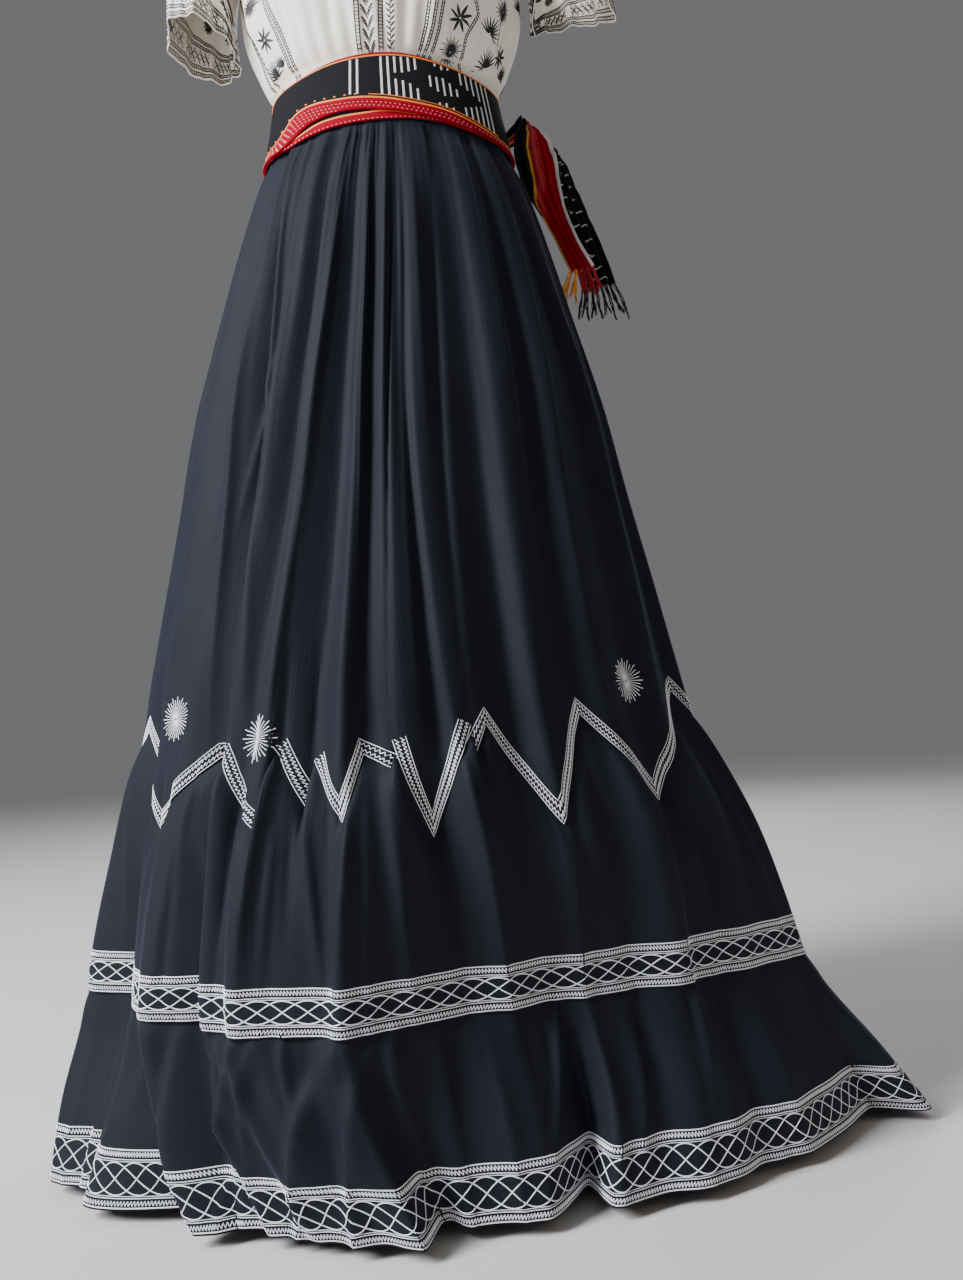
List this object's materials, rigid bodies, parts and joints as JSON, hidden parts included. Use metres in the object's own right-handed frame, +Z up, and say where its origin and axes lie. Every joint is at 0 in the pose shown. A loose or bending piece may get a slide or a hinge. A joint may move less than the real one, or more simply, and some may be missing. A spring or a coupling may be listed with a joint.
{
  "type": "traditional outfit",
  "caption": "Worn traditional outfit: embroidered cotton blouse with wide sleeves, long dark gathered skirt in tiers with embroidered zigzag and bands, woven waist sash with fringed ends.",
  "frame": {"origin": "centre of the waist, level with the lower edge of the sash's outer turn at the viewer's right, where the wearer's waist holds the outfit", "axes": "+Z up, +X to the viewer's right, the front of the outfit faces -Y"},
  "size_m": [0.9118, 0.5886, 1.4306],
  "materials": {
    "skirt_cotton": "matt black-navy woven cotton",
    "blouse_cotton": "matt cream woven cotton",
    "sash_weave": "firm black woven cotton",
    "fringe_yellow": "yellow thread",
    "fringe_red": "dark red thread",
    "fringe_black": "black thread",
    "embroidery_white": "white mercerised thread",
    "embroidery_black": "black mercerised thread",
    "sash_edge": "red woven edge with orange and white threads"
  },
  "bodies": {
    "root": {"skirt_upper_front": "skirt_cotton", "skirt_upper_back": "skirt_cotton", "skirt_middle_front": "skirt_cotton", "skirt_middle_back": "skirt_cotton", "skirt_ruffle_front": "skirt_cotton", "skirt_ruffle_back": "skirt_cotton", "skirt_waistband": "skirt_cotton", "sash_inner_turn": "sash_weave", "sash_outer_turn": "sash_weave", "blouse_front": "blouse_cotton", "blouse_back": "blouse_cotton", "blouse_sleeve_left": "blouse_cotton", "blouse_sleeve_right": "blouse_cotton", "sash_end_front": "sash_weave", "sash_end_back": "sash_weave", "sash_fringe_yellow": "fringe_yellow", "sash_fringe_red": "fringe_red", "sash_fringe_black": "fringe_black"}
  },
  "joints": []
}
